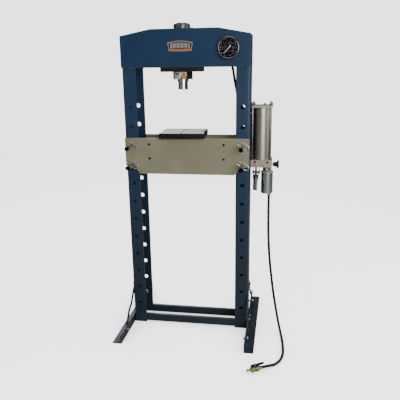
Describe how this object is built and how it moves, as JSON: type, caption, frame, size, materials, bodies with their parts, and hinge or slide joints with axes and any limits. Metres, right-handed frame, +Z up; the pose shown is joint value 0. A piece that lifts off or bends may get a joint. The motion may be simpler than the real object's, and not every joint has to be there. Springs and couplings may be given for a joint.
{
  "type": "hydraulic shop press",
  "caption": "Free-standing H-frame hydraulic press with a pinned bed, arbor plates, pressure gauge and an air-over-oil pump with hose.",
  "frame": {"origin": "on the floor, under the middle of the footprint that the feet, the pump and its knob take up; the middle of the frame is 50 mm to its left", "axes": "+Z is up, the operator stands on the -Y side and faces +Y, the pump is on the +X side"},
  "size_m": [0.9066, 0.8374, 1.628],
  "materials": {
    "frame_blue": "dark blue enamel on steel channel",
    "head_blue": "blue enamel on steel plate",
    "black_paint": "black enamel",
    "cylinder_paint": "black enamel",
    "bed_cream": "cream-grey enamel",
    "zinc": "zinc-plated steel",
    "bare_steel": "ground steel",
    "hard_chrome": "polished chrome",
    "black_oxide": "black oxide on steel",
    "pin_steel": "turned steel, oiled",
    "clip_wire": "bright spring wire",
    "aluminium": "machined aluminium",
    "brass": "machined brass",
    "black_plastic": "black moulded plastic and rubber seals",
    "red_plastic": "dark red plugs",
    "lens_glass": "clear lens",
    "dial_face": "printed faces",
    "badge_metal": "pressed aluminium",
    "hose_rubber": "smooth black rubber hose"
  },
  "bodies": {
    "frame": {"air_hose": "hose_rubber", "air_hose_ends": "zinc", "air_return_spring": "bare_steel", "air_valve_body": "brass", "badge": "badge_metal", "base_rails": "frame_blue", "bed_front_plate": "bed_cream", "bed_rear_plate": "bed_cream", "bed_spacers": "zinc", "block_plugs": "red_plastic", "cylinder_barrel": "cylinder_paint", "cylinder_plates": "black_paint", "exhaust_muffler": "black_plastic", "feet": "frame_blue", "foot_braces": "frame_blue", "frame_bolts": "zinc", "fulcrum_bracket": "zinc", "gauge_bezel": "hard_chrome", "gauge_bourdon_tube": "brass", "gauge_case": "black_oxide", "gauge_dial": "dial_face", "gauge_lens": "lens_glass", "gauge_line": "brass", "gauge_stem": "brass", "head_front_plate": "head_blue", "head_rear_plate": "head_blue", "hose_fittings": "zinc", "motor_cylinder": "aluminium", "motor_neck": "aluminium", "oil_hose": "hose_rubber", "pump_block": "aluminium", "pump_bolts": "zinc", "pump_bracket": "black_paint", "ram_return_spring": "bare_steel", "reservoir_cap": "aluminium", "reservoir_tube": "aluminium", "ring_nut": "cylinder_paint", "rod_gland": "zinc", "tie_rods": "zinc", "upright_left": "frame_blue", "upright_right": "frame_blue"},
    "ram": {"ram_piston": "bare_steel", "ram_rod": "bare_steel", "ram_saddle": "hard_chrome"},
    "needle": {"gauge_needle": "black_oxide"},
    "hand_lever": {"handle_socket": "zinc"},
    "hand_plunger_set": {"hand_plunger": "bare_steel"},
    "release_valve": {"release_knob": "black_plastic"},
    "air_piston_set": {"air_piston": "aluminium"},
    "valve_handle": {"air_valve_lever": "zinc"},
    "arbor_left": {"arbor_plate_left": "black_oxide"},
    "arbor_right": {"arbor_plate_right": "black_oxide"},
    "pin_left_lower": {"bed_pin_left_lower": "pin_steel"},
    "clip_left_lower": {"pin_clip_left_lower": "clip_wire"},
    "pin_left_upper": {"bed_pin_left_upper": "pin_steel"},
    "clip_left_upper": {"pin_clip_left_upper": "clip_wire"},
    "pin_right_lower": {"bed_pin_right_lower": "pin_steel"},
    "clip_right_lower": {"pin_clip_right_lower": "clip_wire"},
    "pin_right_upper": {"bed_pin_right_upper": "pin_steel"},
    "clip_right_upper": {"pin_clip_right_upper": "clip_wire"}
  },
  "joints": [
    {"name": "ram_slide", "type": "slide", "parent": "frame", "child": "ram", "axis": [0, 0, -1], "range_m": [0, 0.15], "stiffness_N_per_m": 600, "springref_m": -0.1, "deforming": ["ram_return_spring"]},
    {"name": "needle_turn", "type": "hinge", "parent": "frame", "child": "needle", "pos_m": [0.172, -0.108, 1.502], "axis": [0, 1, 0], "range_deg": [0, 270], "stiffness_Nm_per_rad": 0.02},
    {"name": "lever_swing", "type": "hinge", "parent": "frame", "child": "hand_lever", "pos_m": [0.306, 0.024, 0.876], "axis": [-1, 0, 0], "range_deg": [0, 40]},
    {"name": "plunger_slide", "type": "slide", "parent": "frame", "child": "hand_plunger_set", "axis": [0, 0, 1], "range_m": [0, 0.021]},
    {"name": "release_turn", "type": "hinge", "parent": "frame", "child": "release_valve", "pos_m": [0.4, 0, 0.923], "axis": [1, 0, 0], "range_deg": [0, 270]},
    {"name": "air_piston_slide", "type": "slide", "parent": "frame", "child": "air_piston_set", "axis": [0, 0, 1], "range_m": [0, 0.03], "stiffness_N_per_m": 400, "springref_m": -0.01, "deforming": ["air_return_spring"]},
    {"name": "valve_turn", "type": "hinge", "parent": "frame", "child": "valve_handle", "pos_m": [0.34094, -0.48173, 0.0135], "axis": [0, 0, 1], "range_deg": [0, 90]},
    {"name": "arbor_left_slide", "type": "slide", "parent": "frame", "child": "arbor_left", "axis": [-0.9986, -0.0523, 0], "range_m": [0, 0.08]},
    {"name": "arbor_right_slide", "type": "slide", "parent": "frame", "child": "arbor_right", "axis": [0.9986, 0.0523, 0], "range_m": [0, 0.08]},
    {"name": "pin_left_lower_slide", "type": "slide", "parent": "frame", "child": "pin_left_lower", "axis": [0, -1, 0], "range_m": [0, 0.18]},
    {"name": "clip_left_lower_slide", "type": "slide", "parent": "pin_left_lower", "child": "clip_left_lower", "axis": [0.788, 0, -0.6157], "range_m": [0, 0.045]},
    {"name": "pin_left_upper_slide", "type": "slide", "parent": "frame", "child": "pin_left_upper", "axis": [0, -1, 0], "range_m": [0, 0.18]},
    {"name": "clip_left_upper_slide", "type": "slide", "parent": "pin_left_upper", "child": "clip_left_upper", "axis": [0.788, 0, -0.6157], "range_m": [0, 0.045]},
    {"name": "pin_right_lower_slide", "type": "slide", "parent": "frame", "child": "pin_right_lower", "axis": [0, -1, 0], "range_m": [0, 0.18]},
    {"name": "clip_right_lower_slide", "type": "slide", "parent": "pin_right_lower", "child": "clip_right_lower", "axis": [0.788, 0, -0.6157], "range_m": [0, 0.045]},
    {"name": "pin_right_upper_slide", "type": "slide", "parent": "frame", "child": "pin_right_upper", "axis": [0, -1, 0], "range_m": [0, 0.18]},
    {"name": "clip_right_upper_slide", "type": "slide", "parent": "pin_right_upper", "child": "clip_right_upper", "axis": [0.788, 0, -0.6157], "range_m": [0, 0.045]}
  ],
  "couplings": [
    {"joint": "plunger_slide", "follows": "lever_swing", "m_per_rad": 0.0288}
  ]
}
